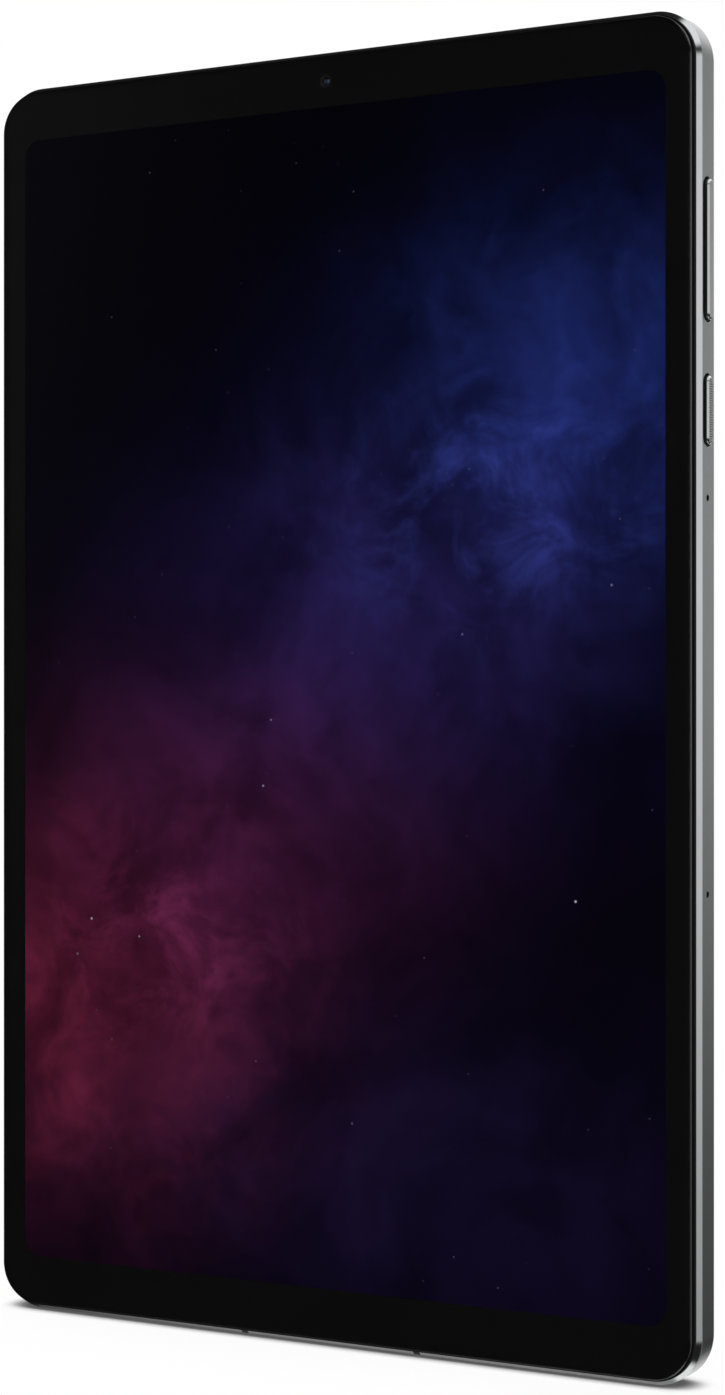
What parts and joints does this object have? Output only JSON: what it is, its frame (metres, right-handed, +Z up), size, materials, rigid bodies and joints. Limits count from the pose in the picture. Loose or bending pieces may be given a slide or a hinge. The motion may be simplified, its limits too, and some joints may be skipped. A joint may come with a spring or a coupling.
{
  "type": "tablet computer",
  "caption": "Slim slab tablet computer with a rounded metal housing, flush cover glass, side volume and power keys, card tray and raised rear camera block.",
  "frame": {"origin": "middle of the bottom edge of the body, half-way through its thickness", "axes": "+Z up the body towards the front camera, the screen faces -Y, +X is the right-hand side seen from the front, where the keys are"},
  "size_m": [0.1302, 0.009, 0.2085],
  "materials": {
    "anodised_body": "dark grey anodised aluminium with polished front chamfer",
    "anodised_key": "anodised aluminium with bright bevel",
    "antenna_plastic": "moulded antenna insert",
    "trim_black": "black trim under the glass",
    "cover_glass": "polished cover glass",
    "black_film": "opaque black border film",
    "clear_adhesive": "clear optical adhesive",
    "display": null,
    "white_diffuser": "white light guide stack",
    "led_strip": "yellow phosphor over white packages",
    "polyimide_flex": "amber flexible circuit",
    "cast_frame": "cast light alloy",
    "screw_steel": "plated steel",
    "battery_pouch": "black pouch wrap",
    "circuit_board": "green solder mask",
    "pull_tape": "white stretch tape",
    "graphite": "graphite film",
    "shield_steel": "tinned sheet steel",
    "copper": "copper",
    "socket_steel": "drawn steel",
    "black_plastic": "moulded black plastic",
    "cable_jacket": "thin coaxial cable",
    "speaker_mesh": "fine woven mesh",
    "tungsten": "sintered heavy metal",
    "camera_black": "blackened camera housing",
    "polished_ring": "turned and polished aluminium",
    "camera_glass": "coated glass",
    "flash_plastic": "frosted clear plastic",
    "contact_gold": "gold-plated",
    "black_rubber": "black silicone rubber"
  },
  "bodies": {
    "tablet": {"rear_housing": "anodised_body", "antenna_inserts": "antenna_plastic", "trim_ring": "trim_black", "cover_glass": "cover_glass", "bezel_mask": "black_film", "optical_adhesive": "clear_adhesive", "lcd_panel": "display", "backlight_unit": "white_diffuser", "backlight_leds": "led_strip", "display_flex": "polyimide_flex", "mid_frame": "cast_frame", "screws": "screw_steel", "battery_left": "battery_pouch", "battery_right": "battery_pouch", "battery_board": "circuit_board", "battery_tape": "pull_tape", "graphite_sheet": "graphite", "main_board": "circuit_board", "soc_shield": "shield_steel", "power_shield": "shield_steel", "heat_spreader": "copper", "usb_board": "circuit_board", "usb_shell": "socket_steel", "usb_tongue": "black_plastic", "main_flex": "polyimide_flex", "coax_cable": "cable_jacket", "speaker_bottom": "black_plastic", "speaker_top": "black_plastic", "speaker_meshes": "speaker_mesh", "haptic_case": "shield_steel", "haptic_coil": "copper", "front_camera": "camera_black", "light_sensor": "camera_black", "rear_camera": "camera_black", "macro_camera": "camera_black", "camera_island": "anodised_body", "lens_rings": "polished_ring", "camera_windows": "camera_glass", "flash_led": "led_strip", "flash_lens": "flash_plastic", "side_flex": "polyimide_flex", "side_switches": "contact_gold", "key_bracket": "shield_steel", "microphones": "contact_gold", "mic_gaskets": "black_rubber", "key_bushes": "black_plastic", "card_cage": "shield_steel", "card_contacts": "contact_gold"},
    "volume_rocker": {"volume_key": "anodised_key"},
    "power_button": {"power_key": "anodised_key"},
    "card_drawer": {"card_tray": "anodised_body", "tray_seal": "black_rubber"},
    "haptic_weight": {"haptic_mass": "tungsten"},
    "focus_group": {"focus_barrel": "camera_black"}
  },
  "joints": [
    {"name": "volume_rock", "type": "hinge", "parent": "tablet", "child": "volume_rocker", "pos_m": [0.06255, 0.00038, 0.1721], "axis": [0, 1, 0], "range_deg": [-1.2, 1.2], "stiffness_Nm_per_rad": 0.5},
    {"name": "power_press", "type": "slide", "parent": "tablet", "child": "power_button", "axis": [-1, 0, 0], "range_m": [0, 0.0003], "stiffness_N_per_m": 5000},
    {"name": "tray_slide", "type": "slide", "parent": "tablet", "child": "card_drawer", "axis": [-1, 0, 0], "range_m": [0, 0.018]},
    {"name": "haptic_buzz", "type": "slide", "parent": "tablet", "child": "haptic_weight", "axis": [1, 0, 0], "range_m": [-0.0004, 0.0004], "stiffness_N_per_m": 1000},
    {"name": "lens_focus", "type": "slide", "parent": "tablet", "child": "focus_group", "axis": [0, 1, 0], "range_m": [0, 0.0003], "stiffness_N_per_m": 400}
  ]
}
